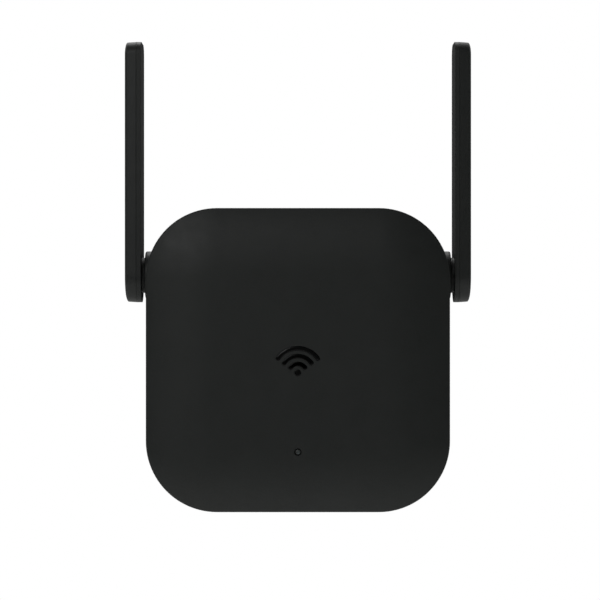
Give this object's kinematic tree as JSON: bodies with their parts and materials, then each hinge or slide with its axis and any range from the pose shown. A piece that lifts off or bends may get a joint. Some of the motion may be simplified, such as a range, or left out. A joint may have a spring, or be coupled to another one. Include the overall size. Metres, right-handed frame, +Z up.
{
  "type": "wifi range extender",
  "caption": "Rounded-square plug-in wireless repeater with a softly crowned front, a flat folding antenna hinged on each side and a round-pin wall plug at the back.",
  "frame": {"origin": "centre of the plug base's flat face, where it meets the wall socket, midway between the pins", "axes": "+Y towards the wall along the plug pins, +Z up, +X to the right as seen from the front"},
  "size_m": [0.092, 0.0535, 0.1244],
  "materials": {
    "shell": "fine moulded grain, near-black charcoal",
    "blade": "fine moulded grain, near-black charcoal",
    "gloss": "polished black",
    "light": "smoked clear plastic, unlit",
    "label": "satin film label, blank",
    "plug": "satin black",
    "nickel": "nickel plated",
    "steel": "zinc plated",
    "copper": "bare copper alloy",
    "board": "green solder mask on glass-fibre board",
    "can": "tinned sheet steel",
    "chip": "moulded epoxy",
    "pad": "soft silicone",
    "led": "white package with clear resin",
    "white": "natural acetal",
    "ferrite": "ground ferrite",
    "tape": "yellow polyester tape",
    "capacitor": "dark blue sleeve over an aluminium can",
    "ceramic": "dipped epoxy coating",
    "fuse": "brown body",
    "coax": "grey extruded jacket",
    "sheet": "clear-white polyester film"
  },
  "bodies": {
    "housing": {"front_cover": "shell", "rear_housing": "shell", "emblem_insert": "gloss", "light_pipe": "light", "rating_label": "label", "plug_base": "plug", "main_board": "board", "shield_can": "can", "wifi_chip": "chip", "thermal_pad": "pad", "memory_chip": "chip", "clock_crystal": "can", "status_led": "led", "reset_switch": "can", "link_socket": "chip", "main_board_screw_1": "steel", "main_board_screw_2": "steel", "main_board_screw_3": "steel", "main_board_screw_4": "steel", "power_board": "board", "link_header": "chip", "transformer_core": "ferrite", "transformer_coil": "tape", "input_capacitor": "capacitor", "output_capacitor": "capacitor", "noise_choke": "ferrite", "fuse": "fuse", "bridge_rectifier": "chip", "power_chip": "chip", "safety_capacitor": "ceramic", "power_board_screw_1": "steel", "power_board_screw_2": "steel", "power_board_screw_3": "steel", "power_board_screw_4": "steel", "insulation_sheet": "sheet", "plug_pin_right": "nickel", "plug_pin_left": "nickel", "pin_sleeve_right": "plug", "pin_sleeve_left": "plug", "pin_contact_right": "copper", "pin_contact_left": "copper", "coax_connector_right": "copper", "coax_connector_left": "copper", "feed_coax_right": "coax", "feed_coax_left": "coax", "hinge_washer_right": "white", "hinge_washer_left": "white"},
    "antenna_right": {"antenna_cover_right": "blade", "antenna_back_right": "blade", "antenna_radiator_right": "board", "antenna_coax_right": "coax"},
    "antenna_left": {"antenna_cover_left": "blade", "antenna_back_left": "blade", "antenna_radiator_left": "board", "antenna_coax_left": "coax"},
    "reset_button": {"reset_plunger": "white"}
  },
  "joints": [
    {"name": "antenna_right_hinge", "type": "hinge", "parent": "housing", "child": "antenna_right", "pos_m": [0.0416, -0.0205, 0.0224], "axis": [1, 0, 0], "range_deg": [0, 180]},
    {"name": "antenna_left_hinge", "type": "hinge", "parent": "housing", "child": "antenna_left", "pos_m": [-0.0416, -0.0205, 0.0224], "axis": [1, 0, 0], "range_deg": [0, 180]},
    {"name": "reset_press", "type": "slide", "parent": "housing", "child": "reset_button", "axis": [-1, 0, 0], "range_m": [0, 0.0003], "stiffness_N_per_m": 2000}
  ]
}
